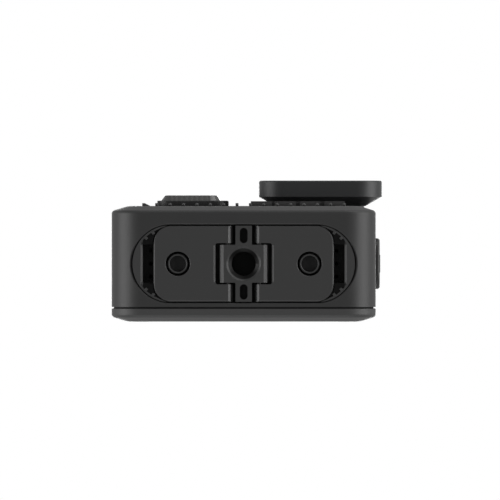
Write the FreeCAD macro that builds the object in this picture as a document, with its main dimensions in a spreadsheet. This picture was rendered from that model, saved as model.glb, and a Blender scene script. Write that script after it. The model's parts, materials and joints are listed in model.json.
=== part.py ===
import FreeCAD, Part
import math
import os
import re
import Sketcher

# A small action camera, built as an assembly of separate pieces, in millimetres.
# +X is to the right seen from the front, +Y is the rear and +Z is up.
# The origin is the tripod thread's axis where it meets the base.

V = FreeCAD.Vector
QUARTER_TURN = math.pi / 2
doc = FreeCAD.newDocument("action_camera")
sheet = doc.addObject("Spreadsheet::Sheet", "Dimensions")

dimensions = {
    # outer body
    "body_width": 55.8,
    "body_height": 46.3,
    "front_reach": 12.2,
    "rear_reach": 12.25,
    "corner_radius": 6.4,
    "wall": 1.6,
    "front_wall": 1.8,
    "bevel_width": 3.4,
    "bevel_depth": 1.05,
    "bevel_round": 0.8,
    "bevel_crown": 5.0,
    "seam_front": 9.13,
    "seam_rear": 9.53,
    "gap": 0.1,
    "fit_gap": 0.03,
    "web_width": 1.4,
    "boss_length": 5.73,
    "screw_depth": 5.0,
    "panel_width": 47.8,
    "panel_height": 38.9,
    "panel_corner": 4.9,
    "screen_corner": 5.3,
    # fold-out fingers and their well in the base
    "well_half_width": 8.25,
    "well_centre": 15.35,
    "well_rim": 9.0,
    "well_rim_top": 3.3,
    "floor_level": 3.35,
    "tray_top": 5.0,
    "finger_hole_x": 13.9,
    "finger_hole_radius": 2.58,
    "finger_end": 19.05,
    "finger_corner": 3.6,
    "finger_half_width": 8.03,
    "finger_thickness": 2.8,
    "finger_edge": 0.4,
    "hinge_x": 3.2,
    "hinge_level": 1.4,
    "knuckle_end": 2.3,
    "knuckle_flat": 3.25,
    "knuckle_facet": 0.5,
    "facet_depth": 0.36,
    "facet_foot": 1.0,
    "knuckle_inner": 4.35,
    "notch_end": 5.95,
    "notch_corner": 0.45,
    "pin_radius": 0.6,
    "pin_inner": 2.9,
    "block_half_length": 5.2,
    "block_half_width": 4.0,
    "block_flat": 4.22,
    "block_facet": 0.7,
    "block_top": 3.3,
    "neck_half_width": 1.74,
    "groove_y": 5.95,
    "groove_radius": 0.82,
    "groove_reach": 0.79,
    "groove_depth": 2.3,
    "thread_radius": 2.54,
    "thread_mouth_radius": 3.65,
    "thread_mouth_depth": 0.4,
    "thread_start": 0.45,
    "thread_end": 7.2,
    "thread_cap": 0.6,
    "insert_radius": 3.7,
    "boss_wall": 0.7,
    "nail_end": 21.3,
    "nail_bevel": 0.45,
    "pivot_boss_radius": 2.16,
    "pivot_dish_radius": 1.62,
    # lens
    "lens_x": 16.3,
    "lens_level": 34.9,
    "pedestal_width": 18.6,
    "pedestal_corner": 3.6,
    "mount_ring_radius": 8.5,
    "cover_width": 26.1,
    "cover_corner": 5.3,
    "cover_front": 17.65,
    "cover_wall_rear": 14.2,
    "cover_rear": 12.25,
    "cover_bevel": 3.5,
    "cover_bore": 8.3,
    "barrel_radius": 7.4,
    "holder_radius": 6.9,
    # front light
    "lamp_x": -10.8,
    "lamp_level": 33.1,
    "lamp_width": 15.2,
    "lamp_proud": 1.2,
    "lamp_opening": 9.0,
    "diffuser_x": -11.25,
    "diffuser_width": 12.7,
    "diffuser_proud": 2.3,
    # front ribs
    "rib_count": 16,
    "rib_pitch": 2.83,
    "rib_width": 0.6,
    "rib_height": 0.6,
    "rib_foot": 4.9,
    "rib_top": 41.2,
    "rib_top_under_lamp": 24.9,
    "rib_top_under_lens": 17.0,
    "pad_foot": 17.6,
    "pad_height": 1.05,
    # microphone and status light in the front, speaker in the side
    "status_x": -21.8,
    "microphone_level": 39.6,
    "microphone_radius": 0.4,
    "status_level": 35.4,
    "status_radius": 0.65,
    "speaker_level": 12.6,
    "speaker_pitch": 2.6,
    # buttons
    "shutter_x": -11.5,
    "shutter_length": 16.2,
    "shutter_width": 8.4,
    "shutter_proud": 1.0,
    "mode_level": 27.5,
    "mode_length": 10.8,
    "mode_width": 6.2,
    "mode_proud": 1.0,
    # side door
    "door_front": 9.2,
    "door_rear": 7.65,
    "door_bottom": 9.4,
    "door_top": 37.7,
    "door_thick": 1.25,
    "door_axis_inset": 0.7,
    # ports behind the door
    "usb_y": 4.63,
    "usb_level": 16.1,
    "card_y": 3.9,
    "card_level": 29.4,
    # circuit board
    "board_face": 2.2,
    "board_thick": 0.8,
    "screw_radius": 0.8,
    "screw_x": 21.6,
    "screw_low": 7.6,
    "screw_high": 38.7,
}

for row, (alias, value) in enumerate(dimensions.items(), start=1):
    sheet.set(f"A{row}", alias)
    sheet.set(f"B{row}", str(value))
    sheet.setAlias(f"B{row}", alias)
doc.recompute()

nodes = []


def cells(expression):
    """The expression with each dimension's name turned into its cell."""
    def named(match):
        word = match.group(0)
        return f"Dimensions.{word}" if word in dimensions else word

    return re.sub(r"[a-z_]+", named, str(expression))


def number(expression):
    """The expression's value now."""
    return float(sheet.evalExpression(cells(expression)))


def bind(thing, **properties):
    """Tie each property to an expression of the sheet; a double underscore stands for a dot."""
    for name, expression in properties.items():
        thing.setExpression(name.replace("__", "."), cells(expression))


def keep(thing, label):
    """Make the object a node of its own, under this name."""
    thing.Label = label
    nodes.append(thing)
    return thing


# ---------------------------------------------------------------- sketches and features


def new_body(label):
    return keep(doc.addObject("PartDesign::Body", label), label)


def new_sketch(body, role, level="0"):
    """A sketch on one of the body's own planes, moved along that plane's normal.

    XY_Plane looks up +Z, XZ_Plane looks forward along -Y and YZ_Plane looks right along +X.
    """
    sketch = body.newObject("Sketcher::SketchObject", body.Name + "_sketch")
    plane = next(item for item in body.Origin.OriginFeatures if item.Role == role)
    sketch.AttachmentSupport = [(plane, "")]
    sketch.MapMode = "FlatFace"
    bind(sketch, AttachmentOffset__Base__z=level)
    return sketch


def constrain(sketch, kind, *places, value=None):
    """Add a constraint, and bind it to the sheet if it has a value."""
    if value is None:
        sketch.addConstraint(Sketcher.Constraint(kind, *places))
        return
    index = sketch.addConstraint(Sketcher.Constraint(kind, *places, number(value)))
    sketch.setExpression(f"Constraints[{index}]", cells(value))


def fix_point(sketch, edge, end, across, up):
    """Hold one point of an edge at a distance across and up from the sketch's origin."""
    constrain(sketch, "DistanceX", -1, 1, edge, end, value=across)
    constrain(sketch, "DistanceY", -1, 1, edge, end, value=up)


def circle(sketch, across, up, radius):
    centre = V(number(across), number(up), 0)
    edge = sketch.addGeometry(Part.Circle(centre, V(0, 0, 1), number(radius)), False)
    fix_point(sketch, edge, 3, across, up)
    constrain(sketch, "Radius", edge, value=radius)


def polygon(sketch, corners):
    """A closed outline of straight lines through the corners."""
    points = [V(number(across), number(up), 0) for across, up in corners]
    first = sketch.GeometryCount
    for index, point in enumerate(points):
        following = points[(index + 1) % len(points)]
        sketch.addGeometry(Part.LineSegment(point, following), False)
    for index, (across, up) in enumerate(corners):
        following = first + (index + 1) % len(points)
        constrain(sketch, "Coincident", first + index, 2, following, 1)
        fix_point(sketch, first + index, 1, across, up)


def rectangle(sketch, low, high):
    """A rectangle between two opposite corners."""
    polygon(sketch, [low, (high[0], low[1]), high, (low[0], high[1])])


def rounded(sketch, across, up, width, height, radius):
    """A rectangle with rounded corners about a centre, made of four lines and four tangent arcs."""
    x, y, r = number(across), number(up), number(radius)
    half_w, half_h = number(width) / 2 - r, number(height) / 2 - r
    first = sketch.GeometryCount
    signs = [(1, 1), (-1, 1), (-1, -1), (1, -1)]
    for turn, (side, top) in enumerate(signs):
        centre = V(x + side * half_w, y + top * half_h, 0)
        start = turn * QUARTER_TURN
        arc = Part.ArcOfCircle(Part.Circle(centre, V(0, 0, 1), r), start, start + QUARTER_TURN)
        sketch.addGeometry(arc, False)
    for turn in range(4):
        start = sketch.getPoint(first + turn, 2)
        end = sketch.getPoint(first + (turn + 1) % 4, 1)
        sketch.addGeometry(Part.LineSegment(start, end), False)
    for turn, (side, top) in enumerate(signs):
        constrain(sketch, "Tangent", first + turn, 2, first + 4 + turn, 1)
        constrain(sketch, "Tangent", first + 4 + turn, 2, first + (turn + 1) % 4, 1)
        centre_x = f"({across}) + {side} * (({width}) / 2 - ({radius}))"
        centre_y = f"({up}) + {top} * (({height}) / 2 - ({radius}))"
        fix_point(sketch, first + turn, 3, centre_x, centre_y)
    constrain(sketch, "Radius", first, value=radius)


def slot(sketch, across, up, reach, radius, upright=False):
    """An outline with two half-round ends whose centres lie a reach either side of its middle."""
    x, y, r, half = number(across), number(up), number(radius), number(reach)
    first = sketch.GeometryCount
    step = V(0, half, 0) if upright else V(half, 0, 0)
    start = 0 if upright else -QUARTER_TURN
    for side in (1, -1):
        arc_circle = Part.Circle(V(x, y, 0) + step * side, V(0, 0, 1), r)
        sketch.addGeometry(Part.ArcOfCircle(arc_circle, start, start + 2 * QUARTER_TURN), False)
        start += 2 * QUARTER_TURN
    for arc, other in ((0, 1), (1, 0)):
        line = Part.LineSegment(sketch.getPoint(first + arc, 2), sketch.getPoint(first + other, 1))
        sketch.addGeometry(line, False)
    for arc, line, other in ((0, 2, 1), (1, 3, 0)):
        constrain(sketch, "Tangent", first + arc, 2, first + line, 1)
        constrain(sketch, "Tangent", first + line, 2, first + other, 1)
    for arc, side in ((0, 1), (1, -1)):
        centre_x = across if upright else f"({across}) + {side} * ({reach})"
        centre_y = f"({up}) + {side} * ({reach})" if upright else up
        fix_point(sketch, first + arc, 3, centre_x, centre_y)
    constrain(sketch, "Radius", first, value=radius)


def pad(body, sketch, length, taper="0"):
    """Add material along the sketch plane's normal."""
    feature = body.newObject("PartDesign::Pad", body.Name + "_pad")
    feature.Profile = sketch
    bind(feature, Length=length)
    feature.TaperAngle = number(taper)
    doc.recompute()
    return feature


def pocket(body, sketch, length):
    """Take material away along the sketch plane's normal, and check that some went."""
    before = body.Tip.Shape.Volume
    feature = body.newObject("PartDesign::Pocket", body.Name + "_pocket")
    feature.Profile = sketch
    feature.Reversed = True
    bind(feature, Length=length)
    doc.recompute()
    if not feature.Shape.Volume < before - 1e-4:
        raise RuntimeError(f"{body.Label}: {feature.Name} takes nothing away")
    return feature


def edges_where(feature, test):
    """Names of the edges of which every end and the middle pass the test."""
    names = []
    for index, edge in enumerate(feature.Shape.Edges, start=1):
        middle = edge.valueAt((edge.FirstParameter + edge.LastParameter) / 2)
        points = [middle] + [corner.Point for corner in edge.Vertexes]
        if all(test(point) for point in points):
            names.append(f"Edge{index}")
    return names


def near(value, expression):
    return abs(value - number(expression)) < 1e-3


def fillet(body, radius, test):
    base = body.Tip
    feature = body.newObject("PartDesign::Fillet", body.Name + "_fillet")
    feature.Base = (base, edges_where(base, test))
    bind(feature, Radius=radius)
    doc.recompute()
    return feature


def chamfer(body, size, test, other_size=None, flip=False):
    base = body.Tip
    feature = body.newObject("PartDesign::Chamfer", body.Name + "_chamfer")
    feature.Base = (base, edges_where(base, test))
    if other_size:
        feature.ChamferType = "Two distances"
        feature.FlipDirection = flip
        bind(feature, Size2=other_size)
    bind(feature, Size=size)
    doc.recompute()
    return feature


def turned(label, section, across, up):
    """A piece turned about an axis along Y, from corners given as (radius, y)."""
    body = new_body(label)
    sketch = new_sketch(body, "XY_Plane")
    polygon(sketch, section)
    feature = body.newObject("PartDesign::Revolution", label + "_turn")
    feature.Profile = sketch
    axis = next(item for item in body.Origin.OriginFeatures if item.Role == "Y_Axis")
    feature.ReferenceAxis = (axis, [""])
    feature.Angle = 360
    bind(body, Placement__Base__x=across, Placement__Base__z=up)
    doc.recompute()
    return body


# ---------------------------------------------------------------- primitives and booleans


def block(name, low, size):
    """A box from its lowest corner and its size, each given as three expressions."""
    box = doc.addObject("Part::Box", name)
    bind(box, Length=size[0], Width=size[1], Height=size[2])
    bind(box, Placement__Base__x=low[0], Placement__Base__y=low[1], Placement__Base__z=low[2])
    return box


TURNS = {
    "x": FreeCAD.Rotation(V(0, 1, 0), 90),
    "y": FreeCAD.Rotation(V(1, 0, 0), -90),
    "z": FreeCAD.Rotation(),
}


def rod(name, along, start, radius, length):
    """A cylinder from the centre of its first end, along +X, +Y or +Z."""
    cylinder = doc.addObject("Part::Cylinder", name)
    cylinder.Placement = FreeCAD.Placement(V(), TURNS[along])
    bind(cylinder, Radius=radius, Height=length)
    bind(cylinder, Placement__Base__x=start[0], Placement__Base__y=start[1], Placement__Base__z=start[2])
    return cylinder


def cut(name, base, tool):
    result = doc.addObject("Part::Cut", name)
    result.Base = base
    result.Tool = tool
    return result


def fuse(name, *shapes):
    result = doc.addObject("Part::MultiFuse", name)
    result.Shapes = list(shapes)
    return result


def group(name, *solids):
    """Separate solids that share one node."""
    result = doc.addObject("Part::Compound", name)
    result.Links = list(solids)
    return result


def soften(name, base, radius, test):
    """Round some edges of a primitive."""
    doc.recompute()
    result = doc.addObject("Part::Fillet", name)
    result.Base = base
    size = number(radius)
    names = edges_where(base, test)
    result.Edges = [(int(edge[4:]), size, size) for edge in names]
    return result


# ---------------------------------------------------------------- housing and covers


def bevelled_shell(label, rear, length, front_bevel):
    """The rounded outer block of a shell, with the wide shallow bevel on its outer face."""
    body = new_body(label)
    outline = new_sketch(body, "XZ_Plane", f"-({rear})")
    rounded(outline, "0", "body_height / 2", "body_width", "body_height", "corner_radius")
    pad(body, outline, length)
    outer = "-front_reach" if front_bevel else "rear_reach"
    side = "-front_reach + bevel_depth" if front_bevel else "rear_reach - bevel_depth"
    chamfer(body, "bevel_width", lambda p: near(p.y, outer), "bevel_depth", flip=True)
    fillet(body, "bevel_round", lambda p: near(p.y, side))
    fillet(body, "bevel_crown", lambda p: near(p.y, outer))
    return body


def small_openings(sketch):
    """The light's opening, the microphone's hole and the status light's hole in the front."""
    rounded(sketch, "lamp_x", "lamp_level", "lamp_opening", "lamp_opening", "1")
    circle(sketch, "status_x", "microphone_level", "microphone_radius")
    circle(sketch, "status_x", "status_level", "status_radius")


def stadium(body, level, half_width):
    sketch = new_sketch(body, "XY_Plane", level)
    slot(sketch, "0", "0", "well_centre", half_width)
    return sketch


def make_main_housing():
    body = bevelled_shell("main_housing", "seam_front", "front_reach + seam_front", True)

    inside = new_sketch(body, "XZ_Plane", "-seam_front")
    rounded(inside, "0", "body_height / 2", "body_width - 2 * wall", "body_height - 2 * wall",
            "corner_radius - wall")
    pocket(body, inside, "seam_front + front_reach - front_wall")

    # raised rim round the well, then the well's opening
    pad(body, stadium(body, "wall - 0.2", "well_rim"), "well_rim_top - wall + 0.2")
    pocket(body, stadium(body, "-1", "well_half_width"), "well_rim_top + 2")

    # screw bosses, each tied to the side wall by a web
    for side in (-1, 1):
        for level in ("screw_low", "screw_high"):
            boss = new_sketch(body, "XZ_Plane", "-seam_front")
            circle(boss, f"{side} * screw_x", level, "2 * screw_radius")
            pad(body, boss, "boss_length")
            web = new_sketch(body, "XZ_Plane", "-seam_front")
            rectangle(web, (f"{side} * (screw_x + 0.4)", f"{level} - web_width / 2"),
                      (f"{side} * (body_width - wall) / 2", f"{level} + web_width / 2"))
            pad(body, web, "boss_length")
    for side in (-1, 1):
        for level in ("screw_low", "screw_high"):
            hole = new_sketch(body, "XZ_Plane", "-seam_front")
            circle(hole, f"{side} * screw_x", level, "screw_radius + 0.05")
            pocket(body, hole, "screw_depth")

    # seat of the front panel, and the openings through the front wall
    seat = new_sketch(body, "XZ_Plane", "front_reach - 0.8")
    rounded(seat, "0", "body_height / 2", "panel_width + 2 * gap", "panel_height + 2 * gap",
            "panel_corner + gap")
    pocket(body, seat, "2")
    pedestal = new_sketch(body, "XZ_Plane", "front_reach - 1")
    rounded(pedestal, "lens_x", "lens_level", "pedestal_width", "pedestal_width", "pedestal_corner")
    pad(body, pedestal, "1")
    ring_seat = new_sketch(body, "XZ_Plane", "front_reach - 0.8")
    circle(ring_seat, "lens_x", "lens_level", "mount_ring_radius + gap")
    pocket(body, ring_seat, "2")
    openings = new_sketch(body, "XZ_Plane", "front_reach - front_wall - 0.5")
    circle(openings, "lens_x", "lens_level", "barrel_radius + 2 * gap")
    small_openings(openings)
    pocket(body, openings, "front_wall + 1")

    # door recess in the left side, thickened behind, with the port and card openings
    backing = new_sketch(body, "YZ_Plane", "-body_width / 2 + wall - 0.2")
    rounded(backing, "(door_rear - door_front) / 2", "(door_bottom + door_top) / 2",
            "door_rear + door_front + 1.4", "door_top - door_bottom + 2.6", "2")
    pad(body, backing, "1.4")
    recess = new_sketch(body, "YZ_Plane", "-body_width / 2 - 1")
    rectangle(recess, ("-door_front", "door_bottom - 0.8"), ("door_rear", "door_top"))
    pocket(body, recess, "door_thick + 1 + 0.3")
    ports = new_sketch(body, "YZ_Plane", "-body_width / 2")
    rounded(ports, "usb_y", "usb_level", "3.6", "9.4", "1.7")
    rounded(ports, "card_y", "card_level", "1.6", "11.8", "0.3")
    pocket(body, ports, "4")
    pin_hole = new_sketch(body, "XZ_Plane", "-door_rear - 0.8")
    circle(pin_hole, "-body_width / 2 + door_axis_inset", "door_bottom", "0.4")
    pocket(body, pin_hole, "door_rear + door_front + 1.6")
    catch = new_sketch(body, "YZ_Plane", "-body_width / 2 - 1")
    rectangle(catch, ("-2.4", "door_top - 0.5"), ("0.9", "door_top + 0.75"))
    pocket(body, catch, "door_thick + 1.1")

    # button openings in the top and in the right side, and the speaker's slots
    top = new_sketch(body, "XY_Plane", "body_height - wall - 0.5")
    slot(top, "shutter_x", "0", "(shutter_length - shutter_width) / 2", "shutter_width / 2 + gap")
    circle(top, "2.4", "-1", "0.4")
    pocket(body, top, "wall + 1")
    right = new_sketch(body, "YZ_Plane", "body_width / 2 - wall - 0.5")
    slot(right, "0", "mode_level", "(mode_length - mode_width) / 2", "mode_width / 2 + gap")
    for index in range(3):
        slot(right, "-2.5", f"speaker_level + {index} * speaker_pitch", "2.8", "0.4")
    pocket(body, right, "wall + 1")

    # the rim of the well rolls in softly
    fillet(body, "0.35", lambda p: near(p.z, "0") and abs(p.y) < number("well_half_width") + 1e-3
           and abs(p.x) < number("well_centre + well_half_width") + 1e-3)


def make_rear_cover():
    body = bevelled_shell("rear_cover", "rear_reach", "rear_reach - seam_rear", False)
    glass_seat = new_sketch(body, "XZ_Plane", "-rear_reach - 1")
    rounded(glass_seat, "0", "body_height / 2", "panel_width + 2 * gap", "panel_height + 2 * gap",
            "screen_corner + gap")
    pocket(body, glass_seat, "2.1")
    window = new_sketch(body, "XZ_Plane", "-rear_reach - 1")
    rounded(window, "0", "body_height / 2", "38", "30.2", "0.5")
    for side in (-1, 1):
        for level in ("screw_low", "screw_high"):
            circle(window, f"{side} * screw_x", level, "screw_radius + 0.05")
    pocket(body, window, "5")
    for side in (-1, 1):
        for level in ("screw_low", "screw_high"):
            head = new_sketch(body, "XZ_Plane", "-rear_reach")
            circle(head, f"{side} * screw_x", level, "1.45")
            pocket(body, head, "1.95")


def make_rear_gasket():
    body = new_body("rear_gasket")
    ring = new_sketch(body, "XZ_Plane", "-seam_rear")
    rounded(ring, "0", "body_height / 2", "body_width - 0.9", "body_height - 0.9", "corner_radius - 0.45")
    rounded(ring, "0", "body_height / 2", "body_width - 2.9", "body_height - 2.9", "corner_radius - 1.45")
    pad(body, ring, "seam_rear - seam_front")


def make_plate(label, role, level, centre, size, radius, thickness):
    """A flat piece with rounded corners."""
    body = new_body(label)
    sketch = new_sketch(body, role, level)
    rounded(sketch, centre[0], centre[1], size[0], size[1], radius)
    pad(body, sketch, thickness)
    return body


def make_rear_screen():
    make_plate("rear_screen_glass", "XZ_Plane", "-rear_reach + 0.03", ("0", "body_height / 2"),
               ("panel_width", "panel_height"), "screen_corner", "1.05")
    make_plate("rear_display", "XZ_Plane", "-rear_reach + 1.15", ("0", "body_height / 2"),
               ("37.6", "29.8"), "0.4", "1.8")
    keep(block("display_ribbon", ("6", "7.2", "8.4"), ("8", "2", "0.25")), "display_ribbon")


def make_chassis_screws():
    screws = []
    for side in (-1, 1):
        for level in ("screw_low", "screw_high"):
            place = f"{side} * screw_x"
            head = rod("screw_head", "y", (place, "rear_reach - 1.9", level), "1.4", "0.75")
            drive = rod("screw_drive", "y", (place, "rear_reach - 1.6", level), "0.5", "1")
            shank = rod("screw_shank", "y", (place, "rear_reach - 7", level), "screw_radius", "5.2")
            screws.append(cut("screw", fuse("screw_blank", head, shank), drive))
    keep(group("chassis_screws", *screws), "chassis_screws")


def make_front_panel():
    body = new_body("front_panel")
    plate = new_sketch(body, "XZ_Plane", "front_reach - 0.75")
    rounded(plate, "0", "body_height / 2", "panel_width", "panel_height", "panel_corner")
    pad(body, plate, "0.75")

    # a wedge at the left edge, then upright ribs that stop under the light and the lens
    wedge = new_sketch(body, "XY_Plane", "rib_foot")
    polygon(wedge, [("-21.45", "-front_reach + 0.1"), ("-21.45", "-front_reach - rib_height"),
                    ("-20.9", "-front_reach - rib_height"), ("-19.5", "-front_reach + 0.1")])
    pad(body, wedge, "rib_top - rib_foot")
    for index in range(1, dimensions["rib_count"]):
        middle = f"(rib_pitch * ({index} - (rib_count - 1) / 2))"
        place = number(middle)
        under_lamp = abs(place - number("lamp_x")) < number("lamp_width / 2 + rib_width")
        top = "rib_top_under_lamp" if under_lamp else "rib_top_under_lens" if place > 0 else "rib_top"
        rib = new_sketch(body, "XZ_Plane", "front_reach - 0.1")
        rectangle(rib, (f"{middle} - rib_width / 2", "rib_foot"), (f"{middle} + rib_width / 2", top))
        pad(body, rib, "rib_height + 0.1")

    # four pads in a row under the lens
    for low, high in (("1.5", "6"), ("6.5", "11.1"), ("11.9", "16.2"), ("17.1", "21.4")):
        raised = new_sketch(body, "XZ_Plane", "front_reach - 0.1")
        rectangle(raised, (low, "pad_foot"), (high, "pad_foot + 2"))
        pad(body, raised, "pad_height + 0.1")

    # the lens pedestal takes the panel's upper right corner
    corner = new_sketch(body, "XZ_Plane", "front_reach - 2")
    rounded(corner, "lens_x", "lens_level", "pedestal_width + 2 * gap", "pedestal_width + 2 * gap",
            "pedestal_corner + gap")
    pocket(body, corner, "4")
    holes = new_sketch(body, "XZ_Plane", "front_reach - 2")
    small_openings(holes)
    pocket(body, holes, "4")


# ---------------------------------------------------------------- lens


def make_lens_cover():
    body = new_body("lens_cover_frame")
    outline = new_sketch(body, "XZ_Plane", "cover_rear")
    rounded(outline, "lens_x", "lens_level", "cover_width", "cover_width", "cover_corner")
    pad(body, outline, "cover_front - cover_rear")
    chamfer(body, "cover_bevel", lambda p: near(p.y, "-cover_rear"), "cover_wall_rear - cover_rear",
            flip=True)
    fillet(body, "0.35", lambda p: near(p.y, "-cover_front"))
    glass_seat = new_sketch(body, "XZ_Plane", "cover_front - 1.4")
    rounded(glass_seat, "lens_x", "lens_level", "22", "22", "4")
    pocket(body, glass_seat, "2")
    bore = new_sketch(body, "XZ_Plane", "cover_rear - 1")
    circle(bore, "lens_x", "lens_level", "cover_bore")
    pocket(body, bore, "7")
    make_plate("lens_cover_glass", "XZ_Plane", "cover_front - 1.35", ("lens_x", "lens_level"),
               ("21.9", "21.9"), "3.95", "1.3")
    turned("lens_cover_seal", [("barrel_radius + 0.15", "-13.4"), ("cover_bore - 0.03", "-13.4"),
                               ("cover_bore - 0.03", "-12.6"), ("barrel_radius + 0.15", "-12.6")],
           "lens_x", "lens_level")


def lens_element(label, front, thickness, radius, curve):
    """A lens with a flat rear and a front face that bulges forward as part of a ball."""
    blank = rod(label + "_blank", "y", ("lens_x", front, "lens_level"), radius, thickness)
    ball = doc.addObject("Part::Sphere", label + "_ball")
    bind(ball, Radius=curve, Placement__Base__x="lens_x", Placement__Base__y=f"{front} + {curve}",
         Placement__Base__z="lens_level")
    common = doc.addObject("Part::Common", label)
    common.Base = blank
    common.Tool = ball
    keep(common, label)


def make_lens_stack():
    # the barrel steps inward from front to rear and holds three lenses
    turned("lens_barrel", [("barrel_radius", "-15.7"), ("barrel_radius", "-8.9"),
                           ("5.4", "-8.9"), ("5.4", "-2.6"), ("3.4", "-2.6"), ("3.4", "-5.2"),
                           ("4.4", "-5.2"), ("4.4", "-9.6"), ("6.1", "-9.6"), ("6.1", "-13.2"),
                           ("6.7", "-13.2"), ("6.7", "-15.7")], "lens_x", "lens_level")
    lens_element("front_lens", "-15.6", "3", "6.05", "9.5")
    lens_element("middle_lens", "-9.1", "1.8", "4.35", "12")
    lens_element("rear_lens", "-7", "1.7", "4.35", "9")
    turned("lens_retainer", [("5.4", "-15.55"), ("6.65", "-15.55"), ("6.65", "-13.3"),
                             ("6.12", "-13.3"), ("6.12", "-14.9"), ("5.4", "-14.9")],
           "lens_x", "lens_level")
    turned("lens_holder", [("5.5", "-8.8"), ("holder_radius", "-8.8"), ("holder_radius", "-0.4"),
                           ("5.5", "-0.4")], "lens_x", "lens_level")
    keep(block("infrared_filter", ("lens_x - 3.6", "-2.5", "lens_level - 3.1"), ("7.2", "0.4", "6.2")),
         "infrared_filter")
    keep(block("image_sensor", ("lens_x - 3.8", "-1.6", "lens_level - 3.3"), ("7.6", "1.2", "6.6")),
         "image_sensor")
    keep(block("sensor_board", ("lens_x - 7.2", "-0.4", "lens_level - 7.2"), ("14.4", "0.8", "14.4")),
         "sensor_board")


# ---------------------------------------------------------------- front light


def make_front_light():
    body = new_body("light_bezel")
    outline = new_sketch(body, "XZ_Plane", "front_reach")
    rounded(outline, "lamp_x", "lamp_level", "lamp_width", "lamp_width", "3")
    pad(body, outline, "lamp_proud")
    fillet(body, "0.2", lambda p: near(p.y, "-front_reach - lamp_proud"))
    seat = new_sketch(body, "XZ_Plane", "front_reach - 1")
    rounded(seat, "diffuser_x", "lamp_level", "diffuser_width - 1.4", "diffuser_width - 1.4", "1.6")
    pocket(body, seat, "4")

    lens = new_body("light_diffuser")
    stem = new_sketch(lens, "XZ_Plane", "front_reach + 0.05")
    rounded(stem, "diffuser_x", "lamp_level", "diffuser_width - 1.5", "diffuser_width - 1.5", "1.55")
    pad(lens, stem, "lamp_proud")
    front = new_sketch(lens, "XZ_Plane", "front_reach + lamp_proud + 0.02")
    rounded(front, "diffuser_x", "lamp_level", "diffuser_width", "diffuser_width", "2.2")
    pad(lens, front, "diffuser_proud - lamp_proud", "-37")
    fillet(lens, "0.2", lambda p: near(p.y, "-front_reach - diffuser_proud - 0.02"))

    make_plate("light_board", "XZ_Plane", "9.4", ("lamp_x", "lamp_level"), ("12.6", "12.6"), "1", "0.8")
    emitters = [block("emitter", (f"lamp_x + {side} * 2 - 1.2", "-11.1", "lamp_level - 1.2"),
                      ("2.4", "0.88", "2.4")) for side in (-1, 1)]
    keep(group("light_emitters", *emitters), "light_emitters")
    keep(rod("status_light_pipe", "y", ("status_x", "-front_reach", "status_level"), "0.6", "2.2"),
         "status_light_pipe")
    keep(block("status_emitter", ("status_x - 0.6", "-9.95", "status_level - 0.6"), ("1.2", "0.6", "1.2")),
         "status_emitter")


# ---------------------------------------------------------------- electronics and battery


def make_electronics():
    make_plate("main_board", "XZ_Plane", "-board_face - board_thick", ("0", "25.4"), ("38.6", "32"), "1",
               "board_thick")
    rear = "board_face + board_thick"
    keep(block("processor", ("-5", rear, "20"), ("11", "1.2", "11")), "processor")
    chips = [block("chip", (x, rear, "20.6"), ("3", "1", "7.5")) for x in ("-9.6", "7.4")]
    keep(group("memory_chips", *chips), "memory_chips")
    outer = block("can_outer", ("-11", rear, "18.6"), ("23", "1.9", "15.4"))
    inner = block("can_inner", ("-10.8", f"{rear} - 1", "18.8"), ("22.6", "2.7", "15"))
    keep(cut("shield_can", outer, inner), "shield_can")
    keep(block("heat_spreader", ("-14", f"{rear} + 2", "14"), ("30", "0.8", "24")), "heat_spreader")
    keep(soften("battery", block("battery_blank", ("-23.4", "-8.8", "9.2"), ("29", "9.6", "30")), "1.2",
                lambda p: True), "battery")
    keep(block("battery_ribbon", ("-6", "0.85", "22"), ("7", "1.3", "0.25")), "battery_ribbon")
    keep(soften("speaker", block("speaker_blank", ("20.4", "-7", "10.9"), ("4.9", "9", "8.4")), "0.8",
                lambda p: True), "speaker")
    keep(block("speaker_mesh", ("body_width / 2 - wall - 0.25", "-6.4", "11.4"), ("0.2", "7.8", "7.4")),
         "speaker_mesh")
    corner = ("status_x - 1.4", "-10.35", "microphone_level - 1.4")
    keep(block("front_microphone", corner, ("2.8", "1", "2.8")), "front_microphone")
    keep(block("top_microphone", ("1", "-2.4", "body_height - wall - 1.05"), ("2.8", "2.8", "1")),
         "top_microphone")
    keep(block("wireless_antenna", ("-2", "3.2", "body_height - wall - 0.5"), ("20", "4", "0.3")),
         "wireless_antenna")


def make_ports():
    body = new_body("usb_port")
    shell = new_sketch(body, "YZ_Plane", "-25.3")
    rounded(shell, "usb_y", "usb_level", "3.2", "8.94", "1.5")
    pad(body, shell, "7.4")
    mouth = new_sketch(body, "YZ_Plane", "-25.4")
    rounded(mouth, "usb_y", "usb_level", "2.56", "8.34", "1.2")
    pocket(body, mouth, "6.4")
    tongue = new_sketch(body, "YZ_Plane", "-24.2")
    rectangle(tongue, ("usb_y - 0.35", "usb_level - 3.35"), ("usb_y + 0.35", "usb_level + 3.35"))
    pad(body, tongue, "5.6")

    frame = block("slot_outer", ("-24.6", "card_y - 0.85", "card_level - 6"), ("13", "1.9", "12"))
    channel = block("slot_channel", ("-25", "card_y - 0.4", "card_level - 5.6"), ("12.6", "0.9", "11.2"))
    keep(cut("card_slot", frame, channel), "card_slot")
    card = block("memory_card", ("-25.8", "card_y - 0.35", "card_level - 5.5"), ("13", "0.8", "11"))
    keep(card, "memory_card")


# ---------------------------------------------------------------- buttons


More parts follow.
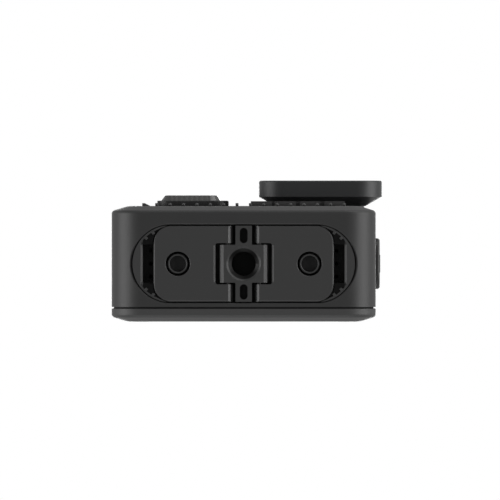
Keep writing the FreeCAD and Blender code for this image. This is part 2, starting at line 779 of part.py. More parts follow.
def pill_button(label, role, skirt_level, middle, skirt, cap, cap_length, skirt_length):
    """A rounded cap on a wider skirt that stays behind the wall; skirt and cap are (reach, radius)."""
    body = new_body(label)
    lower = new_sketch(body, role, skirt_level)
    slot(lower, middle[0], middle[1], skirt[0], skirt[1])
    pad(body, lower, skirt_length)
    upper = new_sketch(body, role, f"{skirt_level} + {skirt_length} - 0.05")
    slot(upper, middle[0], middle[1], cap[0], cap[1])
    pad(body, upper, cap_length)
    return body


def make_buttons():
    shutter_reach = "(shutter_length - shutter_width) / 2"
    button = pill_button("shutter_button", "XY_Plane", "body_height - wall - 1.2", ("shutter_x", "0"),
                         (shutter_reach, "shutter_width / 2 + 0.7"), (shutter_reach, "shutter_width / 2"),
                         "wall + shutter_proud + 0.65", "0.6")
    fillet(button, "0.45", lambda p: near(p.z, "body_height + shutter_proud"))
    seal = new_body("shutter_seal")
    ring = new_sketch(seal, "XY_Plane", "body_height - wall - 0.55")
    slot(ring, "shutter_x", "0", shutter_reach, "shutter_width / 2 + 0.65")
    slot(ring, "shutter_x", "0", shutter_reach, "shutter_width / 2 + 0.15")
    pad(seal, ring, "0.5")
    keep(rod("shutter_switch", "z", ("shutter_x", "0", "body_height - wall - 3"), "2.2", "1.2"),
         "shutter_switch")

    mode_reach = "(mode_length - mode_width) / 2"
    button = pill_button("mode_button", "YZ_Plane", "body_width / 2 - wall - 1", ("0", "mode_level"),
                         (mode_reach, "mode_width / 2 + 0.7"), (mode_reach, "mode_width / 2"),
                         "wall + mode_proud + 0.55", "0.5")
    fillet(button, "0.5", lambda p: near(p.x, "body_width / 2 + mode_proud"))
    seal = new_body("mode_seal")
    ring = new_sketch(seal, "YZ_Plane", "body_width / 2 - wall - 0.45")
    slot(ring, "0", "mode_level", mode_reach, "mode_width / 2 + 0.65")
    slot(ring, "0", "mode_level", mode_reach, "mode_width / 2 + 0.15")
    pad(seal, ring, "0.4")
    keep(rod("mode_switch", "x", ("body_width / 2 - wall - 2.6", "0", "mode_level"), "1.8", "1.1"),
         "mode_switch")


# ---------------------------------------------------------------- side door


def make_side_door():
    inner_face = "-body_width / 2 + door_thick"
    axis_x = "-body_width / 2 + door_axis_inset"
    body = new_body("side_door")
    leaf = new_sketch(body, "YZ_Plane", "-body_width / 2")
    rectangle(leaf, ("-door_front + gap", "door_bottom"), ("door_rear - gap", "door_top - gap"))
    pad(body, leaf, "door_thick")
    knuckle = new_sketch(body, "XZ_Plane", "-door_rear + gap")
    circle(knuckle, axis_x, "door_bottom", "door_axis_inset")
    pad(body, knuckle, "door_rear + door_front - 2 * gap")
    bore = new_sketch(body, "XZ_Plane", "-door_rear - 1")
    circle(bore, axis_x, "door_bottom", "0.41")
    pocket(body, bore, "door_rear + door_front + 2")
    track = new_sketch(body, "YZ_Plane", "-body_width / 2 - 1")
    rectangle(track, ("-2.2", "door_top - 6.2"), ("0.7", "door_top + 1"))
    pocket(body, track, "1 + 0.85")

    # thumb slide with a grip, whose end reaches into the notch over the door
    latch = new_body("door_latch")
    slide = new_sketch(latch, "YZ_Plane", "-body_width / 2 + 0.1")
    rectangle(slide, ("-2.1", "door_top - 4.6"), ("0.6", "door_top + 0.5"))
    pad(latch, slide, "0.7")
    for index in range(3):
        grip = new_sketch(latch, "YZ_Plane", "-body_width / 2")
        level = f"door_top - 3.9 + {index} * 0.9"
        rectangle(grip, ("-1.6", level), ("0.1", f"{level} + 0.4"))
        pad(latch, grip, "0.15")

    # the gasket is on the door's inner face, just inside its edge
    gasket = new_body("door_gasket")
    ring = new_sketch(gasket, "YZ_Plane", f"{inner_face} + 0.01")
    middle = ("(door_rear - door_front) / 2", "(door_bottom + door_top) / 2 + 0.8")
    rounded(ring, *middle, "door_rear + door_front - 1.4", "door_top - door_bottom - 3.2", "1.6")
    rounded(ring, *middle, "door_rear + door_front - 3", "door_top - door_bottom - 4.8", "0.8")
    pad(gasket, ring, "0.25")
    keep(rod("door_hinge_pin", "y", (axis_x, "-door_front - 0.7", "door_bottom"), "0.36",
             "door_front + door_rear + 1.4"), "door_hinge_pin")


# ---------------------------------------------------------------- base with fold-out fingers


def make_mount_tray():
    body = new_body("mount_tray")
    pad(body, stadium(body, "0", "well_half_width - 0.12"), "tray_top")
    pad(body, stadium(body, "floor_level", "well_rim - 0.5"), "0.8")
    # past the fingers' tips the well is wider for a finger-nail, with a bevelled edge
    for side in ("1", "-1"):
        nail = new_sketch(body, "XY_Plane", "-1")
        polygon(nail, [(f"{side} * 17", "6"), (f"{side} * 19.3", "6"), (f"{side} * nail_end", "4.2"),
                       (f"{side} * nail_end", "-4.2"), (f"{side} * 19.3", "-6"), (f"{side} * 17", "-6")])
        pocket(body, nail, "floor_level + 2")
    chamfer(body, "nail_bevel", lambda p: near(p.z, "0") and abs(p.y) < 6.1
            and abs(p.x) > 17.1 and abs(p.x) < number("nail_end") + 0.01)

    # the well that holds the fingers
    edge = [("nail_end", "4.2"), ("19.3", "6"), ("17.9", "7.35"), ("15.2", "8.5")]
    upper_left = [(f"-{x}", y) for x, y in reversed(edge)]
    lower_left = [(f"-{x}", f"-{y}") for x, y in edge]
    lower_right = [(x, f"-{y}") for x, y in reversed(edge)]
    well = new_sketch(body, "XY_Plane", "-1")
    polygon(well, edge + upper_left + lower_left + lower_right)
    pocket(body, well, "floor_level + 1")
    drains = new_sketch(body, "XY_Plane", "floor_level")
    for side in ("1", "-1"):
        for y in ("-2.7", "0", "2.7"):
            circle(drains, f"{side} * 19.6", y, "0.4")
    pocket(body, drains, "3")

    # a dished boss under each folded finger's hole, and the opening for the thread's boss
    for side in ("1", "-1"):
        boss = new_sketch(body, "XY_Plane", "floor_level - 0.3")
        circle(boss, f"{side} * finger_hole_x", "0", "pivot_boss_radius")
        pad(body, boss, "0.5")
        dish = new_sketch(body, "XY_Plane", "floor_level - 1")
        circle(dish, f"{side} * finger_hole_x", "0", "pivot_dish_radius")
        pocket(body, dish, "2")
    centre = new_sketch(body, "XY_Plane", "floor_level - 1")
    circle(centre, "0", "0", "insert_radius + boss_wall + gap")
    pocket(body, centre, "4")


def make_hinge_block():
    body = new_body("hinge_block")
    middle = new_sketch(body, "XZ_Plane", "-block_half_width")
    edge = [("block_flat", "0"), ("block_flat + block_facet", "facet_depth"),
            ("block_half_length", "facet_foot"), ("block_half_length", "block_top")]
    polygon(middle, edge + [(f"-({across})", up) for across, up in reversed(edge)])
    pad(body, middle, "2 * block_half_width")
    neck = new_sketch(body, "XY_Plane", "0")
    rectangle(neck, ("-neck_half_width", "-finger_half_width"), ("neck_half_width", "finger_half_width"))
    pad(body, neck, "block_top")

    # a closed boss holds the thread insert
    boss = new_sketch(body, "XY_Plane", "block_top - 0.1")
    circle(boss, "0", "0", "insert_radius + boss_wall")
    pad(body, boss, "thread_end + thread_cap - block_top + 0.1")
    seat = new_sketch(body, "XY_Plane", "thread_start")
    circle(seat, "0", "0", "insert_radius + fit_gap")
    pocket(body, seat, "thread_end - thread_start")
    mouth = new_sketch(body, "XY_Plane", "-0.5")
    circle(mouth, "0", "0", "thread_mouth_radius - thread_mouth_depth")
    pocket(body, mouth, "2")
    chamfer(body, "thread_mouth_depth", lambda p: near(p.z, "0")
            and near(math.hypot(p.x, p.y), "thread_mouth_radius - thread_mouth_depth"))

    # blind grooves in the neck, and blind holes for the hinge pins
    grooves = new_sketch(body, "XY_Plane", "-0.5")
    for side in ("1", "-1"):
        slot(grooves, "0", f"{side} * groove_y", "groove_reach", "groove_radius", upright=True)
    pocket(body, grooves, "groove_depth + 0.5")
    for side in ("1", "-1"):
        for start in ("block_half_width", "-pin_inner + fit_gap"):
            hole = new_sketch(body, "XZ_Plane", f"-({start})")
            circle(hole, f"{side} * hinge_x", "hinge_level", "pin_radius + fit_gap")
            pocket(body, hole, "block_half_width - pin_inner + fit_gap")


def make_thread_insert():
    body = new_body("thread_insert")
    sleeve = new_sketch(body, "XY_Plane", "thread_start")
    circle(sleeve, "0", "0", "insert_radius")
    circle(sleeve, "0", "0", "thread_radius")
    pad(body, sleeve, "thread_end - thread_start")


def make_hinge_pins():
    pins = []
    length = "finger_half_width - finger_edge - pin_inner"
    for side in ("1", "-1"):
        for start in ("pin_inner", f"-({length}) - pin_inner"):
            place = (f"{side} * hinge_x", start, "hinge_level")
            pins.append(rod("hinge_pin", "y", place, "pin_radius", length))
    keep(group("hinge_pins", *pins), "hinge_pins")


def finger_outline(sketch):
    """A plate that runs out from its knuckle to a tip with two rounded corners."""
    inner, end, half = number("knuckle_end"), number("finger_end"), number("finger_half_width")
    r = number("finger_corner")
    arc_x, arc_y = end - r, half - r
    low = Part.Circle(V(arc_x, -arc_y, 0), V(0, 0, 1), r)
    high = Part.Circle(V(arc_x, arc_y, 0), V(0, 0, 1), r)
    sketch.addGeometry(Part.LineSegment(V(inner, -half, 0), V(arc_x, -half, 0)), False)
    sketch.addGeometry(Part.ArcOfCircle(low, -QUARTER_TURN, 0), False)
    sketch.addGeometry(Part.LineSegment(V(end, -arc_y, 0), V(end, arc_y, 0)), False)
    sketch.addGeometry(Part.ArcOfCircle(high, 0, QUARTER_TURN), False)
    sketch.addGeometry(Part.LineSegment(V(arc_x, half, 0), V(inner, half, 0)), False)
    sketch.addGeometry(Part.LineSegment(V(inner, half, 0), V(inner, -half, 0)), False)
    for edge in range(4):
        constrain(sketch, "Tangent", edge, 2, edge + 1, 1)
    constrain(sketch, "Coincident", 4, 2, 5, 1)
    constrain(sketch, "Coincident", 5, 2, 0, 1)
    fix_point(sketch, 1, 3, "finger_end - finger_corner", "-(finger_half_width - finger_corner)")
    fix_point(sketch, 3, 3, "finger_end - finger_corner", "finger_half_width - finger_corner")
    fix_point(sketch, 0, 1, "knuckle_end", "-finger_half_width")
    fix_point(sketch, 4, 2, "knuckle_end", "finger_half_width")


def make_finger(label, turn):
    """One fold-out finger, drawn on the right and turned about the thread's axis to its side."""
    body = new_body(label)
    blank = new_sketch(body, "XY_Plane", "0")
    finger_outline(blank)
    pad(body, blank, "finger_thickness")
    fillet(body, "finger_edge", lambda p: near(p.z, "0") and not near(p.x, "knuckle_end"))

    # the hinge block fits in a notch between the two knuckles
    notch = new_sketch(body, "XY_Plane", "-1")
    rounded(notch, "notch_end - 4", "0", "8", "2 * knuckle_inner", "notch_corner")
    pocket(body, notch, "finger_thickness + 2")
    hole = new_sketch(body, "XY_Plane", "-1")
    circle(hole, "finger_hole_x", "0", "finger_hole_radius")
    pocket(body, hole, "finger_thickness + 2")
    bore = new_sketch(body, "XZ_Plane", "-finger_half_width - 1")
    circle(bore, "hinge_x", "hinge_level", "pin_radius + 0.06")
    pocket(body, bore, "2 * finger_half_width + 2")

    # each knuckle has two facets on its lower and on its upper edge, so that it clears the neck
    for base, up in (("0", "1"), ("finger_thickness", "-1")):
        facets = new_sketch(body, "XZ_Plane", "-finger_half_width - 1")
        outside = f"{base} - ({up})"
        polygon(facets, [("knuckle_flat", base),
                         ("knuckle_flat - knuckle_facet", f"{base} + ({up}) * facet_depth"),
                         ("knuckle_end", f"{base} + ({up}) * facet_foot"),
                         ("knuckle_end - 1", f"{base} + ({up}) * facet_foot"),
                         ("knuckle_end - 1", outside), ("knuckle_flat", outside)])
        pocket(body, facets, "2 * finger_half_width + 2")

    # the notch's end and the pivot hole are bevelled
    bevel = new_sketch(body, "XZ_Plane", "-(knuckle_inner - notch_corner)")
    polygon(bevel, [("notch_end - 0.1", "-0.1"), ("notch_end + finger_edge + 0.1", "-0.1"),
                    ("notch_end - 0.1", "finger_edge + 0.1")])
    pocket(body, bevel, "2 * (knuckle_inner - notch_corner)")
    chamfer(body, "0.1", lambda p: near(p.z, "0")
            and near(math.hypot(p.x - number("finger_hole_x"), p.y), "finger_hole_radius"))
    body.Placement = FreeCAD.Placement(V(), FreeCAD.Rotation(V(0, 0, 1), turn))


make_main_housing()
make_rear_gasket()
make_rear_cover()
make_rear_screen()
make_chassis_screws()
make_front_panel()
turned("lens_mount_ring", [("barrel_radius + 0.25", "-12"), ("mount_ring_radius", "-12"),
                           ("mount_ring_radius", "-11.42"), ("barrel_radius + 0.25", "-11.42")],
       "lens_x", "lens_level")
make_lens_cover()
make_lens_stack()
make_front_light()
make_electronics()
make_ports()
make_buttons()
make_side_door()
make_mount_tray()
make_hinge_block()
make_thread_insert()
make_hinge_pins()
make_finger("right_finger", 0)
make_finger("left_finger", 180)

doc.recompute()
for thing in doc.Objects:
    if "Invalid" in thing.State or "Error" in thing.State:
        raise RuntimeError(f"{thing.Label} failed: {thing.State}")

os.makedirs("parts", exist_ok=True)
for node in nodes:
    if node.Shape.isNull() or not node.Shape.isValid():
        raise RuntimeError(f"{node.Label} has no valid shape")
    node.Shape.exportStep(f"parts/{node.Label}.step")
print(len(nodes), "nodes")
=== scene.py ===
import json
import math

import bmesh
import bpy
from mathutils import Matrix, Vector


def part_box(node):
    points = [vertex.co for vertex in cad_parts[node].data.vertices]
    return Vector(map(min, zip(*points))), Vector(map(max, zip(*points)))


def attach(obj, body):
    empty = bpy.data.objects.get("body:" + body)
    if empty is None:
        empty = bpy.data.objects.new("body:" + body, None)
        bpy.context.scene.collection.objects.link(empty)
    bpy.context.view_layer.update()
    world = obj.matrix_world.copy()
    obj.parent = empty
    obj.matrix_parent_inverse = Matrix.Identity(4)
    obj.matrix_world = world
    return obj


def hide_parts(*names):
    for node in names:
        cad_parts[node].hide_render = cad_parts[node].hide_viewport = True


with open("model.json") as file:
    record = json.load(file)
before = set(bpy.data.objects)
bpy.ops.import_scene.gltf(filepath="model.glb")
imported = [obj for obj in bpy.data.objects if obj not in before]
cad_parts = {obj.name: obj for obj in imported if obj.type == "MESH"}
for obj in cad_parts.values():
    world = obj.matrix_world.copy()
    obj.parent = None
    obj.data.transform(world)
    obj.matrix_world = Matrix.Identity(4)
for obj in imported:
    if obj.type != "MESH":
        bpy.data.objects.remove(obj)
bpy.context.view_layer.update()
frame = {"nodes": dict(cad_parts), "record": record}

MM = 0.001


# ---------------------------------------------------------------- shader tools

class Level:
    """A shader socket that holds a number; arithmetic on it adds Math nodes."""

    def __init__(self, finish, socket):
        self.finish = finish
        self.socket = socket

    def combine(self, operation, first, second):
        return self.finish.node("ShaderNodeMath", {"operation": operation}, {0: first, 1: second})

    def __add__(self, other):
        return self.combine("ADD", self, other)

    def __radd__(self, other):
        return self.combine("ADD", other, self)

    def __sub__(self, other):
        return self.combine("SUBTRACT", self, other)

    def __rsub__(self, other):
        return self.combine("SUBTRACT", other, self)

    def __mul__(self, other):
        return self.combine("MULTIPLY", self, other)

    def __rmul__(self, other):
        return self.combine("MULTIPLY", other, self)

    def __gt__(self, other):
        return self.combine("GREATER_THAN", self, other)

    def __lt__(self, other):
        return self.combine("LESS_THAN", self, other)

    def __abs__(self):
        return self.finish.node("ShaderNodeMath", {"operation": "ABSOLUTE"}, {0: self})


class Finish:
    """A material with a Principled shader, and the tools to drive its sockets."""

    def __init__(self, name, **constants):
        self.material = bpy.data.materials.new(name)
        self.material.use_nodes = True
        self.tree = self.material.node_tree
        self.shader = self.tree.nodes["Principled BSDF"]
        self.output = self.tree.nodes["Material Output"]
        for socket, value in constants.items():
            self.shader.inputs[socket.replace("_", " ")].default_value = value

    def node(self, kind, settings=None, inputs=None, output=0):
        """Add a node: its settings first, then the values or links of its sockets."""
        node = self.tree.nodes.new(kind)
        for name, value in (settings or {}).items():
            if name == "stops":
                self.set_stops(node.color_ramp, value)
            else:
                setattr(node, name, value)
        for socket, value in (inputs or {}).items():
            self.feed(node.inputs[socket], value)
        return Level(self, node.outputs[output])

    def feed(self, socket, value):
        if isinstance(value, Level):
            self.tree.links.new(value.socket, socket)
        else:
            socket.default_value = value

    def set_stops(self, ramp, stops):
        for index, (place, colour) in enumerate(stops):
            stop = ramp.elements[index] if index < 2 else ramp.elements.new(place)
            stop.position = place
            stop.color = colour

    def drive(self, **sockets):
        for name, value in sockets.items():
            self.feed(self.shader.inputs[name.replace("_", " ")], value)
        return self

    def place(self, centre=(0, 0, 0), scale=(1, 1, 1)):
        """Object coordinates, measured from a centre."""
        where = self.node("ShaderNodeTexCoord", output="Object")
        shift = tuple(-c * s for c, s in zip(centre, scale))
        return self.node("ShaderNodeMapping", {}, {"Vector": where, "Location": shift, "Scale": scale})

    def face_axes(self, centre):
        """X and Z, measured from a centre, for a piece that faces the front or the rear."""
        parts = self.node("ShaderNodeSeparateXYZ", {}, {0: self.place(centre)}).socket.node
        return Level(self, parts.outputs["X"]), Level(self, parts.outputs["Z"])

    def noise(self, size, detail=2.0, roughness=0.5, stretch=(1, 1, 1)):
        """Noise from 0 to 1 whose blobs are about this size, in metres."""
        return self.node("ShaderNodeTexNoise", {}, {
            "Vector": self.place(scale=stretch), "Scale": 1 / size, "Detail": detail, "Roughness": roughness})

    def blend(self, factor, first, second):
        """Mix two colours."""
        mix = self.tree.nodes.new("ShaderNodeMix")
        mix.data_type = "RGBA"
        self.feed(mix.inputs[0], factor)
        self.feed(mix.inputs[6], first)
        self.feed(mix.inputs[7], second)
        return Level(self, mix.outputs[2])

    def bump(self, height, strength, distance):
        return self.node("ShaderNodeBump", {}, {"Strength": strength, "Distance": distance, "Height": height})


def grey(level, warmth=0.0):
    return (level * (1 + warmth), level, level * (1 - warmth), 1)


# ---------------------------------------------------------------- finishes

def moulded(name, level, rough, grain=0.14 * MM, depth=0.006 * MM, tint=0.0, specular=0.5):
    """Moulded plastic or coated metal with a fine spark-eroded grain and faint handling marks."""
    finish = Finish(name, Specular_IOR_Level=specular)
    cloud = finish.noise(9 * MM, 3)
    speck = finish.noise(grain, 2, 0.6)
    colour = finish.blend(cloud, grey(level * 0.93, tint), grey(level * 1.07, tint))
    colour = finish.blend(speck, colour, grey(level * 1.12, tint))
    handling = finish.noise(3 * MM, 4, 0.65)
    finish.drive(Base_Color=colour, Roughness=rough - 0.04 + handling * 0.05 + speck * 0.03,
                 Normal=finish.bump(speck, 0.5, depth))
    return finish


def painted_well_shade(name, level, rough, depth, well=0.36):
    """Moulded plastic with painted shade: blacker in its wells, the more so the higher a point stands above
    the base.
    """
    finish = Finish(name)
    cloud = finish.noise(9 * MM, 3)
    speck = finish.noise(0.14 * MM, 2, 0.6)
    up = finish.node("ShaderNodeSeparateXYZ", {}, {0: finish.place()}, "Z")
    # Painted shade: a mask that grows with height above the base, deep inside the wells and grooves.
    well_shade = finish.node("ShaderNodeMapRange", {"interpolation_type": "SMOOTHSTEP"},
                       {"Value": up, "From Min": 0.3 * depth, "From Max": depth})
    rim = finish.blend(cloud, grey(level * 0.93), grey(level * 1.07))
    colour = finish.blend(well_shade, rim, grey(level * well))
    finish.drive(Base_Color=colour, Roughness=rough + well_shade * 0.25 + speck * 0.03,
                 Normal=finish.bump(speck, 0.5, 0.006 * MM))
    return finish


def painted_shadow_black(name):
    """Near-black finish for painted shadow: it sends back almost nothing."""
    finish = Finish(name, Specular_IOR_Level=0.06)
    cloud = finish.noise(1.5 * MM, 3)
    finish.drive(Base_Color=finish.blend(cloud, grey(0.004), grey(0.007)), Roughness=0.8 + cloud * 0.1,
                 Normal=finish.bump(finish.noise(0.2 * MM), 0.4, 0.004 * MM))
    return finish


def rubber(name, level):
    finish = Finish(name, Specular_IOR_Level=0.3)
    bloom = finish.noise(1.2 * MM, 4)
    finish.drive(Base_Color=finish.blend(bloom, grey(level), grey(level * 1.8)),
                 Roughness=0.72 + bloom * 0.1, Normal=finish.bump(finish.noise(0.2 * MM), 0.4, 0.005 * MM))
    return finish


def plated(name, level, rough, warmth=0.0, grain=(1, 1, 1)):
    """Stamped or turned metal, with fine lines if the grain is stretched."""
    finish = Finish(name, Metallic=1.0)
    lines = finish.noise(0.3 * MM, 3, 0.6, grain)
    finish.drive(Base_Color=finish.blend(lines, grey(level * 0.88, warmth), grey(level * 1.1, warmth)),
                 Roughness=rough + lines * 0.12, Normal=finish.bump(lines, 0.25, 0.003 * MM))
    return finish


def circuit(name):
    """Green solder mask over a faint net of copper tracks."""
    finish = Finish(name)
    tracks = finish.node("ShaderNodeTexVoronoi", {"distance": "MANHATTAN"},
                         {"Vector": finish.place(), "Scale": 1 / (1.1 * MM)}, "Distance")
    net = tracks > 0.62
    finish.drive(Base_Color=finish.blend(net, (0.004, 0.03, 0.016, 1), (0.012, 0.075, 0.04, 1)),
                 Roughness=0.34 + net * 0.08, Normal=finish.bump(net, 0.3, 0.02 * MM))
    return finish


def film(name, colour, rough):
    """Thin plastic film: ribbons, the battery's wrap and the chips' moulded tops."""
    finish = Finish(name)
    wrinkle = finish.noise(2 * MM, 3)
    darker = tuple(c * 0.7 for c in colour[:3]) + (1,)
    finish.drive(Base_Color=finish.blend(wrinkle, darker, colour), Roughness=rough + wrinkle * 0.1,
                 Normal=finish.bump(wrinkle, 0.2, 0.03 * MM))
    return finish


def ring_mask(finish, centre, half):
    """1 outside a rounded square about a centre in the XZ plane, 0 inside it."""
    squareness = 6
    across, up = [finish.node("ShaderNodeMath", {"operation": "POWER"},
                              {0: abs(side) * (1 / half), 1: squareness})
                  for side in finish.face_axes(centre)]
    return (across + up) > 1.0


def cover_glass(name, centre, clear_half):
    """Clear glass with a black printed border round the clear middle."""
    finish = Finish(name, IOR=1.5, Specular_IOR_Level=0.5)
    border = ring_mask(finish, centre, clear_half)
    smear = finish.noise(4 * MM, 4, 0.6)
    finish.drive(Base_Color=finish.blend(border, (0.02, 0.024, 0.03, 1), (0.0025, 0.0025, 0.003, 1)),
                 Roughness=0.03 + smear * 0.05, Alpha=0.16 + border * 0.84)
    return finish


def lens_glass(name, tint, alpha):
    """Coated glass: a coloured reflection over a see-through body."""
    finish = Finish(name, IOR=1.7, Specular_IOR_Level=0.9, Coat_Weight=1.0, Coat_Roughness=0.02)
    coat = finish.noise(6 * MM, 2)
    darker = tuple(c * 0.6 for c in tint[:3]) + (1,)
    finish.drive(Base_Color=finish.blend(coat, darker, tint), Roughness=0.02 + coat * 0.03,
                 Alpha=alpha + coat * 0.05)
    return finish


def screen_glass(name, centre, half_width, half_height):
    """Black screen glass, a shade lighter over the lit area of the display."""
    finish = Finish(name, Specular_IOR_Level=0.5, Coat_Weight=1.0, Coat_Roughness=0.02)
    across, up = finish.face_axes(centre)
    lit = (abs(across) < half_width) * (abs(up) < half_height)
    smear = finish.noise(7 * MM, 4, 0.6)
    finish.drive(Base_Color=finish.blend(lit, (0.002, 0.002, 0.0025, 1), (0.0075, 0.0085, 0.011, 1)),
                 Roughness=0.05 + smear * 0.07)
    return finish


def diffuser_finish(name):
    """Frosted light cover with fine upright prisms."""
    finish = Finish(name, Specular_IOR_Level=0.5, Coat_Weight=0.6, Coat_Roughness=0.08)
    prisms = finish.node("ShaderNodeTexWave", {"bands_direction": "X"},
                         {"Vector": finish.place(), "Scale": 1 / (3.4 * MM)}, "Fac")
    cloud = finish.noise(3 * MM, 2)
    finish.drive(Base_Color=finish.blend(cloud, (0.028, 0.028, 0.027, 1), (0.04, 0.04, 0.038, 1)),
                 Roughness=0.3 + prisms * 0.12, Normal=finish.bump(prisms, 0.35, 0.05 * MM))
    return finish


def phosphor(name):
    finish = Finish(name)
    grain = finish.noise(0.15 * MM, 3)
    finish.drive(Base_Color=finish.blend(grain, (0.75, 0.6, 0.12, 1), (0.9, 0.78, 0.25, 1)),
                 Roughness=0.5 + grain * 0.1)
    return finish


def make_finishes():
    cover_low, cover_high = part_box("lens_cover_glass")
    cover_centre = [(a + b) / 2 for a, b in zip(cover_low, cover_high)]
    screen_low, screen_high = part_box("rear_screen_glass")
    screen_centre = [(a + b) / 2 for a, b in zip(screen_low, screen_high)]
    return {
        "housing": moulded("housing_soft_touch", 0.02, 0.48),
        "housing_rear": moulded("rear_cover_soft_touch", 0.038, 0.5),
        "front_panel": moulded("front_panel_grain", 0.04, 0.52),
        "lens_cover": moulded("lens_cover_satin", 0.022, 0.44, tint=-0.03),
        # The tray's finish carries painted shade, blacker deep in its wells.
        "tray": painted_well_shade("tray_satin", 0.03, 0.46, 1.2 * MM),
        "finger_metal": moulded("finger_coat", 0.031, 0.4, grain=0.09 * MM, depth=0.002 * MM),
        # Painted shadow: the near-black finish of the plates in the nail wells' corners.
        "painted_shadow_black": painted_shadow_black("shadow_plate_black"),
        # The hinge block's finish carries painted shade, blacker deep in its grooves and bore.
        "block_metal": painted_well_shade("block_coat", 0.031, 0.4, 2.2 * MM, 0.12),
        "button": moulded("button_satin", 0.024, 0.42),
        "dark_plastic": moulded("inner_black", 0.012, 0.45),
        "gasket": rubber("gasket_rubber", 0.006),
        "screen_glass": screen_glass("screen_glass_black", screen_centre, 21 * MM, 15.6 * MM),
        "display": film("display_cell", (0.01, 0.011, 0.014, 1), 0.15),
        "clear_glass": cover_glass("cover_glass_clear", cover_centre, 9 * MM),
        "coated_glass": lens_glass("lens_glass_coated", (0.10, 0.06, 0.22, 1), 0.4),
        "filter_glass": lens_glass("filter_glass_cyan", (0.1, 0.3, 0.32, 1), 0.5),
        "sensor": lens_glass("sensor_die", (0.09, 0.05, 0.12, 1), 0.95),
        "circuit_board": circuit("circuit_board_green"),
        "chip": film("chip_epoxy", (0.02, 0.02, 0.022, 1), 0.5),
        "ribbon": film("ribbon_amber", (0.3, 0.13, 0.02, 1), 0.3),
        "copper": plated("heat_spreader_copper", 0.6, 0.3, 0.35, (1, 1, 12)),
        "battery_wrap": film("battery_wrap_dark", (0.05, 0.05, 0.055, 1), 0.35),
        "diffuser": diffuser_finish("light_cover_frosted"),
        "emitter": phosphor("emitter_phosphor"),
        "black_metal": plated("black_anodised", 0.05, 0.35),
        "shield_steel": plated("shield_steel_stamped", 0.5, 0.28),
        "screw_steel": plated("dark_plated_steel", 0.24, 0.3),
        "thread_metal": plated("thread_black_plate", 0.025, 0.34),
    }


def finish_cad_nodes(finishes):
    """Give every CAD node its slot's finish; the hinge block gets a finish with painted shade that blackens
    its grooves and bore.
    """
    slots = {part["node"]: part["material_slot"] for part in frame["record"]["subparts"]}
    slots["hinge_block"] = "block_metal"
    for name, piece in frame["nodes"].items():
        piece.data.materials.clear()
        piece.data.materials.append(finishes[slots[name]].material)


# ---------------------------------------------------------------- new pieces

def piece_from(mesh, name, body, slot, finishes, smooth=True):
    """Turn a bmesh into a piece that rides on a body."""
    bmesh.ops.remove_doubles(mesh, verts=mesh.verts, dist=1e-7)
    bmesh.ops.recalc_face_normals(mesh, faces=mesh.faces)
    data = bpy.data.meshes.new(name)
    mesh.to_mesh(data)
    mesh.free()
    piece = bpy.data.objects.new(name, data)
    bpy.context.scene.collection.objects.link(piece)
    for face in data.polygons:
        face.use_smooth = smooth
    if smooth:
        data.set_sharp_from_angle(angle=math.radians(35))
    data.materials.append(finishes[slot].material)
    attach(piece, body)
    return piece


def rounded_cube(mesh, matrix, radius):
    """A unit cube put in place by a matrix, with its edges rounded."""
    made = bmesh.ops.create_cube(mesh, size=1, matrix=matrix)
    edges = dict.fromkeys(edge for vert in made["verts"] for edge in vert.link_edges)
    bmesh.ops.bevel(mesh, geom=list(edges), offset=radius, segments=2, affect="EDGES", profile=0.5,
                    material=-1)


def bevelled_block(mesh, low, high, radius):
    """A box between two corners, with rounded edges."""
    centre = [(a + b) / 2 for a, b in zip(low, high)]
    size = [b - a for a, b in zip(low, high)]
    rounded_cube(mesh, Matrix.Translation(centre) @ Matrix.Diagonal((*size, 1)), radius)


def arc(centre, radius, turns):
    """Points of an arc about (x, y), at turns in degrees."""
    x, y = centre
    angles = [math.radians(turn) for turn in turns]
    return [(x + radius * math.cos(angle), y + radius * math.sin(angle)) for angle in angles]


def turned_ring(mesh, section, centre, axis, steps=64):
    """Spin a closed section, given as (radius, height) from the centre along the axis."""
    axis = Vector(axis)
    side = axis.orthogonal().normalized()
    verts = [mesh.verts.new(Vector(centre) + side * radius + axis * height) for radius, height in section]
    edges = [mesh.edges.new((verts[i], verts[(i + 1) % len(verts)])) for i in range(len(verts))]
    bmesh.ops.spin(mesh, geom=verts + edges, cent=centre, axis=axis, dvec=(0, 0, 0),
                   angle=math.tau, steps=steps, use_merge=True, use_duplicate=False)


def make_threaded_insert(finishes):
    """A sleeve cut with a real helical thread, in place of the smooth one."""
    low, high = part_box("thread_insert")
    outer = (high[0] - low[0]) / 2
    root, crest, pitch = 3.175 * MM, 2.54 * MM, 1.27 * MM
    mouth = 3.24 * MM
    mesh = bmesh.new()
    turned_ring(mesh, [(outer, low[2]), (mouth, low[2]), (root, low[2] + mouth - root), (root, high[2]),
                       (outer, high[2])], (0, 0, 0), (0, 0, 1))
    turns = (high[2] - low[2] - 1.2 * pitch) / pitch
    foot = low[2] + 0.1 * MM
    sink = 0.05 * MM
    section = [(root + sink, foot), (crest, foot + 0.45 * pitch), (crest, foot + 0.55 * pitch),
               (root + sink, foot + pitch * 0.98)]
    ridge = bmesh.new()
    verts = [ridge.verts.new((radius, 0, height)) for radius, height in section]
    start = ridge.faces.new(verts)
    steps = int(48 * turns)
    bmesh.ops.spin(ridge, geom=[start], cent=(0, 0, 0), axis=(0, 0, 1), angle=math.tau * turns, steps=steps,
                   dvec=(0, 0, turns * pitch / steps), use_duplicate=False)
    data = bpy.data.meshes.new("ridge")
    ridge.to_mesh(data)
    ridge.free()
    mesh.from_mesh(data)
    bpy.data.meshes.remove(data)
    sleeve = piece_from(mesh, "threaded_sleeve", "camera", "thread_metal", finishes)
    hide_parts("thread_insert")


